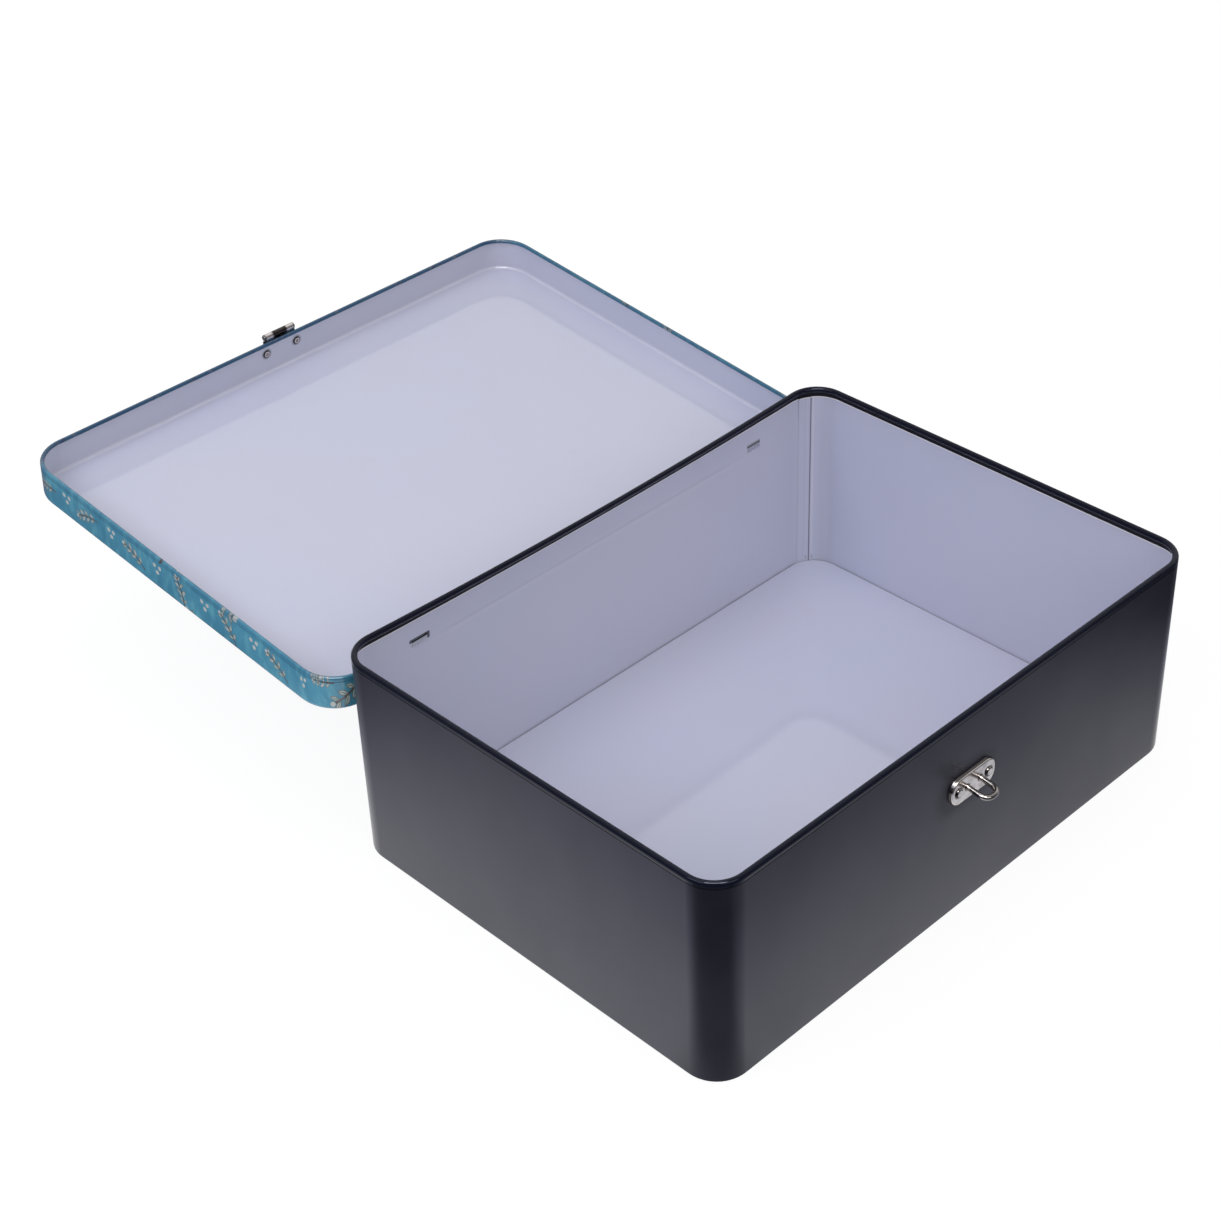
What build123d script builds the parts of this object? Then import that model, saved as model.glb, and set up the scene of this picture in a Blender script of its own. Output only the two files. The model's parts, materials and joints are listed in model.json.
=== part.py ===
from build123d import *
import os
from math import cos, degrees, radians, sin

# A hinged tin box for papers and keepsakes, with a riveted hasp and staple.
# Millimetres and degrees. +X runs along the long edge, -Y is the front wall with the
# staple, +Y the back wall with the hinge, +Z is up. The origin is the centre of the
# body's base. Every piece is drawn with the lid shut and the hasp hanging over the
# staple; at the end the lid's pieces are swung open, as the box stands at rest.

# Body of the box
sheet = 0.4
body_width = 320.0
body_depth = 231.6
body_height = 111.2
body_corner = 17.0
body_edge_radius = 1.2
rim_curl_radius = 1.5
curl_turn = 300.0
groove_depth = 0.15
groove_height = 0.5
turned_flange = 3.0
seam_angle = 52.7
seam_width = 7.0

# Floor plate, pressed in above the turned flange
floor_height = 2.7
floor_edge_radius = 0.7
floor_clearance = 0.05

# Lid
lid_height = 19.7
lid_gap = 1.2
lid_curl_radius = 1.1
lid_edge_radius = 2.5
lid_seat_gap = 0.3
open_angle = 174.2

# Hinge: two strips of tinplate rolled around one wire
wire_radius = 0.8
running_clearance = 0.05
strip_sheet = 0.4
strip_bend = 0.4
hinge_drop = 1.5
knuckle_row = 215.0
knuckle_count = 9
knuckle_gap = 0.4
knuckle_wrap = 270.0
wire_head_radius = 1.1
wire_head_length = 0.4
wire_end_gap = 0.2
leaf_gap = 3.3
leaf_height = 7.2
stop_drop = 9.2
stop_clearance = 0.3

# Tabs of the hinge strips, pushed through slots and folded flat inside
tab_width = 9.0
tab_gap = 0.8
tab_rise = 3.4
tab_fold = 2.8
tab_bend = 0.3
slot_height = 1.3
slot_margin = 0.3
slot_seat = 0.1

# Staple and its plate on the front wall
clasp_drop = 19.4
clasp_end_margin = 4.9
clasp_height = 14.4
clasp_corner = 6.2
clasp_depth = 1.7
clasp_taper = 16.0
clasp_edge = 0.7
clasp_sheet = 0.7
staple_wire_radius = 1.35
staple_width = 11.6
staple_reach = 13.6
staple_droop = 8.0
staple_nose_radius = 3.9
staple_bend_radius = 3.0
staple_foot_head = 1.9
staple_foot_length = 0.6

# Rivets of both fittings
rivet_spacing = 20.4
rivet_shank_radius = 1.3
rivet_bore_radius = 0.9
rivet_flare_radius = 2.3
rivet_flare_length = 0.6
rivet_roll = 0.35
rivet_dome = 0.7
clasp_head_radius = 2.4
clasp_head_height = 0.8
hasp_head_radius = 2.4
hasp_head_height = 0.8
hole_clearance = 0.05

# Hasp on the lid
fitting_sheet = 0.8
fitting_edge = 0.25
pin_radius = 0.8
pin_head_radius = 1.3
pin_head_length = 0.5
hasp_drop = 1.5
mount_end_margin = 3.3
mount_top = 11.6
mount_bottom = 1.2
mount_corner = 3.5
mount_rivet_rise = 7.4
hasp_cheek = 3.1
hasp_end_margin = 3.7
hasp_end_radius = 7.0
hasp_knuckle_length = 6.8
hasp_knuckle_gap = 0.3
hasp_wrap = 255.0
mount_wrap = 270.0
hasp_shoulder = 2.2
hasp_fold = 183.0
slot_side_play = 0.8
slot_low_play = 3.4
slot_high_play = 0.7

# The lid's outer size follows the body's, with room for the lid's own curled edge
lid_step = lid_gap + 2 * lid_curl_radius
lid_width = body_width + 2 * lid_step
lid_depth = body_depth + 2 * lid_step
lid_corner = body_corner + lid_step
lid_top = body_height + lid_seat_gap + sheet
rim_plane = lid_top - lid_height

# The hinge wire lies in the plane of the lid's back face, just under its rim
wall_y = body_depth / 2
hinge_y = lid_depth / 2
hinge_z = rim_plane - hinge_drop
knuckle_radius = wire_radius + running_clearance + strip_sheet
knuckle_line = knuckle_radius - strip_sheet / 2
knuckle_pitch = knuckle_row / knuckle_count
knuckle_length = knuckle_pitch - knuckle_gap
strip_length = knuckle_row + 2 * (tab_gap + tab_width)
tab_x = knuckle_row / 2 + tab_gap + tab_width / 2
shelf_z = hinge_z - knuckle_line
body_tab_z = shelf_z + tab_rise
lid_tab_z = hinge_z + leaf_gap + leaf_height
half_strip = strip_sheet / 2
body_slot_z = body_tab_z - half_strip - slot_seat + slot_height / 2
lid_slot_z = lid_tab_z - half_strip - slot_seat + slot_height / 2

# The hasp turns on its own pin, outside the lid's front face
hasp_knuckle_radius = pin_radius + running_clearance + fitting_sheet
hasp_line = hasp_knuckle_radius - fitting_sheet / 2
hasp_y = -lid_depth / 2 - hasp_knuckle_radius
hasp_z = rim_plane - hasp_drop
mount_width = rivet_spacing + 2 * mount_end_margin

# The staple stands on the front wall where the hasp's slot comes down over it
clasp_level = hasp_z - clasp_drop
clasp_length = rivet_spacing + 2 * clasp_end_margin
staple_half = staple_width / 2 - staple_wire_radius
slot_width = staple_width + 2 * slot_side_play
slot_top = clasp_level + staple_wire_radius + slot_high_play
slot_bottom = clasp_level - staple_wire_radius - slot_low_play
hasp_width = slot_width + 2 * hasp_cheek
hasp_tip = slot_bottom - hasp_end_margin

front_face = Plane(origin=(0, -body_depth / 2, 0), x_dir=(1, 0, 0), z_dir=(0, -1, 0))
back_face = Plane(origin=(0, body_depth / 2, 0), x_dir=(-1, 0, 0), z_dir=(0, 1, 0))
lid_front_face = Plane(origin=(0, -lid_depth / 2, 0), x_dir=(1, 0, 0), z_dir=(0, -1, 0))
lid_back_face = Plane(origin=(0, lid_depth / 2, 0), x_dir=(-1, 0, 0), z_dir=(0, 1, 0))
hinge_axis = Axis((0, hinge_y, hinge_z), (1, 0, 0))
hasp_axis = Axis((0, hasp_y, hasp_z), (1, 0, 0))
clasp_rivet_places = [(-rivet_spacing / 2, clasp_level), (rivet_spacing / 2, clasp_level)]
mount_rivet_level = rim_plane + mount_rivet_rise
mount_rivet_places = [(-rivet_spacing / 2, mount_rivet_level), (rivet_spacing / 2, mount_rivet_level)]
staple_places = [(-staple_half, clasp_level), (staple_half, clasp_level)]
tab_centres = (-tab_x, tab_x)
hole_cut = 3 * sheet
bend_overlap = 2 * strip_bend


def rim_curl(width, depth, corner, level, radius, upward):
    """Roll the sheet's edge inward: an open tube that follows the rounded rectangle."""
    with BuildSketch(Plane.XY.offset(level)) as outline:
        RectangleRounded(width - 2 * radius, depth - 2 * radius, corner - radius)
    path = outline.sketch.wires()[0]
    along = path % 0
    outward = Vector(along.Y, -along.X, 0)
    if outward.dot(path @ 0) < 0:
        outward = -outward
    up = Vector(0, 0, 1 if upward else -1)
    with BuildPart() as curl:
        with BuildSketch(Plane(origin=path @ 0, x_dir=outward, z_dir=outward.cross(up))):
            with BuildLine():
                outer = CenterArc((0, 0), radius, 0, curl_turn)
                inner = CenterArc((0, 0), radius - sheet, 0, curl_turn)
                Line(outer @ 0, inner @ 0)
                Line(outer @ 1, inner @ 1)
            make_face()
        sweep(path=path)
    return curl.part


def groove_ring(width, depth, corner, level):
    """A fine groove round the outside, where the curl begins."""
    with BuildPart() as ring:
        with BuildSketch(Plane.XY.offset(level)):
            RectangleRounded(width, depth, corner)
            RectangleRounded(
                width - 2 * groove_depth,
                depth - 2 * groove_depth,
                corner - groove_depth,
                mode=Mode.SUBTRACT,
            )
        extrude(amount=groove_height)
    return ring.part


def knuckle_centres(first):
    """X places of every second knuckle of the hinge, from the given one on."""
    start = -knuckle_row / 2 + knuckle_pitch / 2
    return [start + knuckle_pitch * i for i in range(first, knuckle_count, 2)]


def clinched_tabs(outer_y, wall_inward, start_z, level):
    """Draw both end tabs of a strip: up the wall, through its slot and down inside."""
    outside = outer_y + half_strip
    inside = outer_y - wall_inward - half_strip
    with BuildPart() as tabs:
        for centre in tab_centres:
            with BuildSketch(Plane.YZ.offset(centre - tab_width / 2)):
                with BuildLine():
                    FilletPolyline(
                        (outside, start_z),
                        (outside, level),
                        (inside, level),
                        (inside, level - tab_fold),
                        radius=tab_bend,
                    )
                trace(line_width=strip_sheet)
            extrude(amount=tab_width)
    return tabs.part


def rivet_group(face, places, sheets, head_radius, head_height):
    """Tubular rivets: a domed head outside, a hollow shank and a rolled end inside."""
    with BuildPart() as group:
        with BuildSketch(face):
            with Locations(*places):
                Circle(head_radius)
        extrude(amount=head_height)
        fillet(edges().group_by(Axis.Y)[0], rivet_dome)
        with BuildSketch(face):
            with Locations(*places):
                Circle(rivet_shank_radius)
        extrude(amount=-sheets)
        with BuildSketch(face.offset(-sheets)):
            with Locations(*places):
                Circle(rivet_flare_radius)
        extrude(amount=-rivet_flare_length)
        fillet(edges().group_by(Axis.Y)[-1], rivet_roll)
        with BuildSketch(face.offset(-sheets - rivet_flare_length)):
            with Locations(*places):
                Circle(rivet_bore_radius)
        extrude(amount=sheets + rivet_flare_length, mode=Mode.SUBTRACT)
    return group.part


# Body wall: one band of tinplate, lapped at a back corner, its rim curled inward
# and its foot turned inward under the floor plate
with BuildPart() as body_wall:
    with BuildSketch():
        RectangleRounded(body_width, body_depth, body_corner)
    extrude(amount=body_height - rim_curl_radius)
    fillet(edges().group_by(Axis.Z)[0], body_edge_radius)
    offset(amount=-sheet, openings=faces().sort_by(Axis.Z)[-1])
    with BuildSketch():
        RectangleRounded(
            body_width - 2 * turned_flange,
            body_depth - 2 * turned_flange,
            body_corner - turned_flange,
        )
    extrude(amount=floor_height, mode=Mode.SUBTRACT)
    curl_level = body_height - rim_curl_radius
    add(rim_curl(body_width, body_depth, body_corner, curl_level, rim_curl_radius, True))
    groove_level = body_height - 2 * rim_curl_radius - groove_height
    add(groove_ring(body_width, body_depth, body_corner, groove_level), mode=Mode.SUBTRACT)
    lap_outer = body_corner - sheet
    lap_inner = body_corner - 2 * sheet
    lap_span = degrees(seam_width / lap_outer)
    corner_place = (body_width / 2 - body_corner, body_depth / 2 - body_corner)
    with BuildSketch(Plane.XY.offset(floor_height + floor_clearance)):
        with BuildLine():
            lap_wide = CenterArc(corner_place, lap_outer, seam_angle, lap_span)
            lap_narrow = CenterArc(corner_place, lap_inner, seam_angle, lap_span)
            Line(lap_wide @ 0, lap_narrow @ 0)
            Line(lap_wide @ 1, lap_narrow @ 1)
        make_face()
    extrude(amount=body_height - 2 * rim_curl_radius - floor_height)
    with BuildSketch(back_face):
        with Locations(*[(x, body_slot_z) for x in tab_centres]):
            Rectangle(tab_width + 2 * slot_margin, slot_height)
    extrude(amount=-hole_cut, mode=Mode.SUBTRACT)
    with BuildSketch(front_face):
        with Locations(*clasp_rivet_places):
            Circle(rivet_shank_radius + hole_clearance)
    extrude(amount=-hole_cut, mode=Mode.SUBTRACT)

# Floor: a shallow inverted tray whose skirt stands just over the wall's inner bend
with BuildPart() as floor_plate:
    skirt_foot = body_edge_radius + floor_clearance
    inset = sheet + floor_clearance
    with BuildSketch(Plane.XY.offset(skirt_foot)):
        RectangleRounded(body_width - 2 * inset, body_depth - 2 * inset, body_corner - inset)
    extrude(amount=floor_height - skirt_foot)
    fillet(edges().group_by(Axis.Z)[-1], floor_edge_radius)
    offset(amount=-sheet, openings=faces().sort_by(Axis.Z)[0])

# Lid: one drawn tray with its edge curled inward
with BuildPart() as lid_tray:
    with BuildSketch(Plane.XY.offset(rim_plane + lid_curl_radius)):
        RectangleRounded(lid_width, lid_depth, lid_corner)
    extrude(amount=lid_height - lid_curl_radius)
    fillet(edges().group_by(Axis.Z)[-1], lid_edge_radius)
    offset(amount=-sheet, openings=faces().sort_by(Axis.Z)[0])
    curl_level = rim_plane + lid_curl_radius
    add(rim_curl(lid_width, lid_depth, lid_corner, curl_level, lid_curl_radius, False))
    groove_level = rim_plane + 2 * lid_curl_radius
    add(groove_ring(lid_width, lid_depth, lid_corner, groove_level), mode=Mode.SUBTRACT)
    with BuildSketch(lid_back_face):
        with Locations(*[(x, lid_slot_z) for x in tab_centres]):
            Rectangle(tab_width + 2 * slot_margin, slot_height)
    extrude(amount=-hole_cut, mode=Mode.SUBTRACT)
    with BuildSketch(lid_front_face):
        with Locations(*mount_rivet_places):
            Circle(rivet_shank_radius + hole_clearance)
    extrude(amount=-hole_cut, mode=Mode.SUBTRACT)

# Hinge strip of the body: a flange on the back wall with a stop lip at its foot,
# every second knuckle on a shelf, and a tab at each end
with BuildPart() as body_hinge_strip:
    stop_reach = hinge_y - strip_sheet * cos(radians(180 - open_angle))
    stop_reach += stop_drop * sin(radians(180 - open_angle)) - stop_clearance
    with BuildSketch(Plane.YZ):
        with BuildLine():
            FilletPolyline(
                (stop_reach, hinge_z - stop_drop),
                (wall_y + half_strip, hinge_z - stop_drop),
                (wall_y + half_strip, shelf_z + half_strip),
                radius=strip_bend,
            )
        trace(line_width=strip_sheet)
    extrude(amount=strip_length / 2, both=True)
    for centre in knuckle_centres(0):
        with BuildSketch(Plane.YZ.offset(centre - knuckle_length / 2)):
            with BuildLine():
                FilletPolyline(
                    (wall_y + half_strip, shelf_z - bend_overlap),
                    (wall_y + half_strip, shelf_z),
                    (hinge_y, shelf_z),
                    radius=strip_bend,
                )
                CenterArc((hinge_y, hinge_z), knuckle_line, -90, knuckle_wrap)
            trace(line_width=strip_sheet)
        extrude(amount=knuckle_length)
    add(clinched_tabs(wall_y, sheet, shelf_z, body_tab_z))

# Hinge strip of the lid: a flange on the lid's back face, the other knuckles and its tabs
with BuildPart() as lid_hinge_strip:
    leaf_bottom = hinge_z + leaf_gap
    with BuildSketch(lid_back_face):
        with Locations((0, leaf_bottom + leaf_height / 2)):
            Rectangle(strip_length, leaf_height)
    extrude(amount=strip_sheet)
    for centre in knuckle_centres(1):
        with BuildSketch(Plane.YZ.offset(centre - knuckle_length / 2)):
            with BuildLine():
                FilletPolyline(
                    (hinge_y + half_strip, leaf_bottom + strip_bend),
                    (hinge_y + half_strip, leaf_bottom - strip_bend),
                    (hinge_y + knuckle_line, hinge_z + knuckle_radius),
                    (hinge_y + knuckle_line, hinge_z),
                    radius=strip_bend,
                )
                CenterArc((hinge_y, hinge_z), knuckle_line, 0, -knuckle_wrap)
            trace(line_width=strip_sheet)
        extrude(amount=knuckle_length)
    add(clinched_tabs(hinge_y, sheet, lid_tab_z - bend_overlap, lid_tab_z))

# Hinge wire, headed at both ends
with BuildPart() as hinge_wire:
    with BuildSketch(Plane.YZ):
        with Locations((hinge_y, hinge_z)):
            Circle(wire_radius)
    extrude(amount=knuckle_row / 2 + wire_end_gap, both=True)
    for side in (-1, 1):
        head_start = side * (knuckle_row / 2 + wire_end_gap)
        with BuildSketch(Plane.YZ.offset(head_start)):
            with Locations((hinge_y, hinge_z)):
                Circle(wire_head_radius)
        extrude(amount=side * wire_head_length)

# Plate under the staple: a shallow pressed dish, open towards the wall
with BuildPart() as clasp_plate:
    with BuildSketch(front_face):
        with Locations((0, clasp_level)):
            RectangleRounded(clasp_length, clasp_height, clasp_corner)
    extrude(amount=clasp_depth, taper=clasp_taper)
    fillet(edges().group_by(Axis.Y)[0], clasp_edge)
    foot = clasp_sheet / cos(radians(clasp_taper))
    with BuildSketch(front_face):
        with Locations((0, clasp_level)):
            RectangleRounded(clasp_length - 2 * foot, clasp_height - 2 * foot, clasp_corner - foot)
    extrude(amount=clasp_depth - clasp_sheet, taper=clasp_taper, mode=Mode.SUBTRACT)
    with BuildSketch(front_face):
        with Locations(*clasp_rivet_places):
            Circle(rivet_shank_radius + hole_clearance)
        with Locations(*staple_places):
            Circle(staple_wire_radius + hole_clearance)
    extrude(amount=clasp_depth, mode=Mode.SUBTRACT)

# Staple: a loop of round wire whose feet go through the plate and are headed behind it
with BuildPart() as staple:
    plate_y = -body_depth / 2 - clasp_depth
    bend_y = plate_y - staple_bend_radius * sin(radians(staple_droop))
    tip_y = -body_depth / 2 - staple_reach + staple_wire_radius
    tip_z = clasp_level + (tip_y - bend_y) * sin(radians(staple_droop))
    foot_y = plate_y + clasp_sheet
    with BuildLine() as loop:
        FilletPolyline(
            (-staple_half, foot_y, clasp_level),
            (-staple_half, bend_y, clasp_level),
            (-staple_half, tip_y, tip_z),
            (staple_half, tip_y, tip_z),
            (staple_half, bend_y, clasp_level),
            (staple_half, foot_y, clasp_level),
            radius=(staple_bend_radius, staple_nose_radius, staple_nose_radius, staple_bend_radius),
        )
    with BuildSketch(front_face.offset(clasp_depth - clasp_sheet)):
        with Locations((-staple_half, clasp_level)):
            Circle(staple_wire_radius)
    sweep(path=loop.wires()[0])
    with BuildSketch(front_face.offset(clasp_depth - clasp_sheet)):
        with Locations(*staple_places):
            Circle(staple_foot_head)
    extrude(amount=-staple_foot_length)

# Rivets of the staple's plate
with BuildPart() as clasp_rivets:
    clasp_face = front_face.offset(clasp_depth)
    through = clasp_depth + sheet
    add(rivet_group(clasp_face, clasp_rivet_places, through, clasp_head_radius, clasp_head_height))

# Mount of the hasp: a riveted plate with two knuckles below the lid's rim
with BuildPart() as hasp_mount:
    with BuildSketch(lid_front_face):
        with Locations((0, rim_plane + (mount_top + mount_bottom) / 2)):
            RectangleRounded(mount_width, mount_top - mount_bottom, mount_corner)
        with Locations(*mount_rivet_places):
            Circle(rivet_shank_radius + hole_clearance, mode=Mode.SUBTRACT)
    extrude(amount=fitting_sheet)
    fillet(edges().filter_by(GeomType.LINE).group_by(Axis.Y)[0], fitting_edge)
    ear_y = hasp_y + hasp_line
    ear_length = (hasp_width - hasp_knuckle_length) / 2 - hasp_knuckle_gap
    for ear_start in (-hasp_width / 2, hasp_width / 2 - ear_length):
        with BuildSketch(Plane.YZ.offset(ear_start)):
            with BuildLine():
                Line((ear_y, rim_plane + mount_corner), (ear_y, hasp_z))
                CenterArc((hasp_y, hasp_z), hasp_line, 0, -mount_wrap)
            trace(line_width=fitting_sheet)
        extrude(amount=ear_length)

# Rivets of the hasp's mount
with BuildPart() as hasp_rivets:
    mount_face = lid_front_face.offset(fitting_sheet)
    through = fitting_sheet + sheet
    add(rivet_group(mount_face, mount_rivet_places, through, hasp_head_radius, hasp_head_height))

# Pin of the hasp, headed at both ends
with BuildPart() as hasp_pin:
    with BuildSketch(Plane.YZ):
        with Locations((hasp_y, hasp_z)):
            Circle(pin_radius)
    extrude(amount=hasp_width / 2, both=True)
    for side in (-1, 1):
        with BuildSketch(Plane.YZ.offset(side * hasp_width / 2)):
            with Locations((hasp_y, hasp_z)):
                Circle(pin_head_radius)
        extrude(amount=side * pin_head_length)

# Hasp: one knuckle and a slotted plate that hangs over the staple when shut
with BuildPart() as hasp:
    plate_top = hasp_z - hasp_shoulder
    with BuildSketch(lid_front_face):
        with BuildLine():
            half_width = hasp_width / 2
            Polyline(
                (-half_width, plate_top),
                (half_width, plate_top),
                (half_width, hasp_tip),
                (-half_width, hasp_tip),
                close=True,
            )
        make_face()
        fillet(vertices().group_by(Axis.Y)[0], hasp_end_radius)
        fillet(vertices().group_by(Axis.Y)[-1], hasp_shoulder / 2)
        with Locations((0, (slot_top + slot_bottom) / 2)):
            RectangleRounded(
                slot_width,
                slot_top - slot_bottom,
                staple_wire_radius,
                mode=Mode.SUBTRACT,
            )
    extrude(amount=fitting_sheet)
    with BuildSketch(Plane.YZ.offset(-hasp_knuckle_length / 2)):
        with BuildLine():
            Line((hasp_y + hasp_line, plate_top - hasp_shoulder), (hasp_y + hasp_line, hasp_z))
            CenterArc((hasp_y, hasp_z), hasp_line, 0, hasp_wrap)
        trace(line_width=fitting_sheet)
    extrude(amount=hasp_knuckle_length)


def opened(piece):
    """Swing a piece of the lid about the hinge wire, from shut to the open stop."""
    return piece.rotate(hinge_axis, -open_angle)


lid_tray.part = opened(lid_tray.part)
lid_hinge_strip.part = opened(lid_hinge_strip.part)
hasp_mount.part = opened(hasp_mount.part)
hasp_rivets.part = opened(hasp_rivets.part)
hasp_pin.part = opened(hasp_pin.part)
hasp.part = opened(hasp.part.rotate(hasp_axis, -hasp_fold))

os.makedirs("parts", exist_ok=True)

pieces = {
    "body_wall": body_wall,
    "floor_plate": floor_plate,
    "body_hinge_strip": body_hinge_strip,
    "hinge_wire": hinge_wire,
    "clasp_plate": clasp_plate,
    "staple": staple,
    "clasp_rivets": clasp_rivets,
    "lid_tray": lid_tray,
    "lid_hinge_strip": lid_hinge_strip,
    "hasp_mount": hasp_mount,
    "hasp_rivets": hasp_rivets,
    "hasp_pin": hasp_pin,
    "hasp": hasp,
}
for name, piece in pieces.items():
    piece.part.label = name
    export_step(piece.part, f"parts/{name}.step")
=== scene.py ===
import bmesh
import bpy
import json
from math import cos, pi, radians, sin
from mathutils import Matrix, Vector


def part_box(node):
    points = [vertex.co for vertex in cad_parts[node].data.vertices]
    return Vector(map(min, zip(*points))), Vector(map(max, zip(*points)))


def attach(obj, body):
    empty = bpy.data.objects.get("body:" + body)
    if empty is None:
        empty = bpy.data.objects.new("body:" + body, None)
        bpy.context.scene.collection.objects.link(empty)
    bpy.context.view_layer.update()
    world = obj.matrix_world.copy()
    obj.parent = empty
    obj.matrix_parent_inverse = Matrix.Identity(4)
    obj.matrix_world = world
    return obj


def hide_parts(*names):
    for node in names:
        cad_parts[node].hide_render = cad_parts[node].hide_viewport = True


# A hinged tin box for papers and keepsakes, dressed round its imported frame.
# Metres, in the frame's own axes: +X along the long edge, -Y the front wall, +Z up.
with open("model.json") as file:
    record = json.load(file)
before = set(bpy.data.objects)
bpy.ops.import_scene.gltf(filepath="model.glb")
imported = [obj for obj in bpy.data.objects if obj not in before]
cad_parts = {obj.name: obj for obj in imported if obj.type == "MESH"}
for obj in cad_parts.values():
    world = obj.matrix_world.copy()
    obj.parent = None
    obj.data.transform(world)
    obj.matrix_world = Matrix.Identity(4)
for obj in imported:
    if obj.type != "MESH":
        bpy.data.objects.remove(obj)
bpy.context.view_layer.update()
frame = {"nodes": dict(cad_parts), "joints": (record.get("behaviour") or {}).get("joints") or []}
nodes = frame["nodes"]
joints = {joint["name"]: joint for joint in frame["joints"]}

MM = 0.001

# Sizes of the tin that the finishes need
SHEET = 0.4 * MM
BODY_CORNER = 17.0 * MM
BODY_RIM_RADIUS = 1.5 * MM
BODY_GROOVE_HEIGHT = 0.5 * MM
LID_CORNER = 20.4 * MM
LID_RIM_RADIUS = 1.1 * MM
LID_GROOVE_HEIGHT = 0.5 * MM
LID_EDGE = 2.5 * MM
LID_HEIGHT = 19.7 * MM
LID_SEAT_GAP = 0.3 * MM

BODY_HALF_X, BODY_HALF_Y, BODY_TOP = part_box("body_wall")[1]
LID_HALF_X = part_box("lid_tray")[1].x
LID_HALF_Y = BODY_HALF_Y + (LID_HALF_X - BODY_HALF_X)
LID_TOP = BODY_TOP + LID_SEAT_GAP + SHEET
LID_RIM = LID_TOP - LID_HEIGHT
UNDER_BODY_RIM = BODY_TOP - 2 * BODY_RIM_RADIUS
OVER_LID_RIM = LID_RIM + 2 * LID_RIM_RADIUS

HINGE_POINT = Vector(joints["lid_hinge"]["pos_m"])
OPEN_ANGLE = radians(joints["lid_hinge"]["range_deg"][1])
PIN_POINT = Vector(joints["hasp_hinge"]["pos_m"])


# Shader arithmetic

class Wire:
    """A number in a material's node tree, written like plain arithmetic."""

    def __init__(self, tree, socket):
        self.tree = tree
        self.socket = socket

    def math(self, operation, *others):
        node = self.tree.nodes.new("ShaderNodeMath")
        node.operation = operation
        for slot, value in zip(node.inputs, (self, *others)):
            plug(self.tree, slot, value)
        return Wire(self.tree, node.outputs[0])

    def __add__(self, other):
        return self.math("ADD", other)

    def __sub__(self, other):
        return self.math("SUBTRACT", other)

    def __mul__(self, other):
        return self.math("MULTIPLY", other)

    def __truediv__(self, other):
        return self.math("DIVIDE", other)

    def abs(self):
        return self.math("ABSOLUTE")

    def sign(self):
        return self.math("SIGN")

    def root(self):
        return self.math("SQRT")

    def floor(self):
        return self.math("FLOOR")

    def least(self, other):
        return self.math("MINIMUM", other)

    def most(self, other):
        return self.math("MAXIMUM", other)

    def inverted(self):
        """One less the number."""
        return self * -1.0 + 1.0

    def ramp(self, start, end):
        """0 before start, 1 after end, and smooth between; start may be the larger."""
        node = self.tree.nodes.new("ShaderNodeMapRange")
        node.interpolation_type = "SMOOTHSTEP"
        plug(self.tree, node.inputs["Value"], self)
        low, high = (0.0, 1.0) if start < end else (1.0, 0.0)
        node.inputs["From Min"].default_value = min(start, end)
        node.inputs["From Max"].default_value = max(start, end)
        node.inputs["To Min"].default_value = low
        node.inputs["To Max"].default_value = high
        return Wire(self.tree, node.outputs["Result"])

    def near(self, outer, inner):
        """1 within inner of zero, 0 beyond outer."""
        return self.abs().ramp(outer, inner)


def plug(tree, slot, value):
    """Put a wire, a socket or a constant on an input."""
    if isinstance(value, Wire):
        tree.links.new(value.socket, slot)
    elif isinstance(value, bpy.types.NodeSocket):
        tree.links.new(value, slot)
    else:
        slot.default_value = value


def position(tree):
    """The point being shaded, in the piece's own rest coordinates."""
    return tree.nodes.new("ShaderNodeTexCoord").outputs["Object"]


def shut_position(tree, rest):
    """Where a point of the open lid comes to lie when the lid is shut."""
    node = tree.nodes.new("ShaderNodeVectorRotate")
    node.rotation_type = "X_AXIS"
    plug(tree, node.inputs["Vector"], rest)
    node.inputs["Center"].default_value = HINGE_POINT
    node.inputs["Angle"].default_value = OPEN_ANGLE
    return node.outputs[0]


def split(tree, vector):
    node = tree.nodes.new("ShaderNodeSeparateXYZ")
    plug(tree, node.inputs[0], vector)
    return [Wire(tree, out) for out in node.outputs]


def joined(tree, x, y, z=0.0):
    node = tree.nodes.new("ShaderNodeCombineXYZ")
    for slot, value in zip(node.inputs, (x, y, z)):
        plug(tree, slot, value)
    return node.outputs[0]


def stretched(tree, vector, scale):
    """A vector scaled along each axis, for streaks and brushing."""
    node = tree.nodes.new("ShaderNodeVectorMath")
    node.operation = "MULTIPLY"
    plug(tree, node.inputs[0], vector)
    node.inputs[1].default_value = scale
    return node.outputs[0]


def noise(tree, vector, scale, detail=2.0, roughness=0.5):
    """Smooth noise from 0 to 1; scale is in cells to the metre."""
    node = tree.nodes.new("ShaderNodeTexNoise")
    plug(tree, node.inputs["Vector"], vector)
    node.inputs["Scale"].default_value = scale
    node.inputs["Detail"].default_value = detail
    node.inputs["Roughness"].default_value = roughness
    return Wire(tree, node.outputs["Fac"])


def unsteady(tree, vector, scale, width):
    """A shift that wanders by up to half the width either way."""
    return noise(tree, vector, scale, detail=3.0) * width - width / 2


def blend(tree, factor, first, second):
    """One colour turning into another as factor goes from 0 to 1."""
    node = tree.nodes.new("ShaderNodeMix")
    node.data_type = "RGBA"
    plug(tree, node.inputs["Factor"], factor)
    for letter, value in (("A", first), ("B", second)):
        plug(tree, next(s for s in node.inputs if s.name == letter and s.type == "RGBA"), value)
    return next(s for s in node.outputs if s.type == "RGBA")


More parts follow.
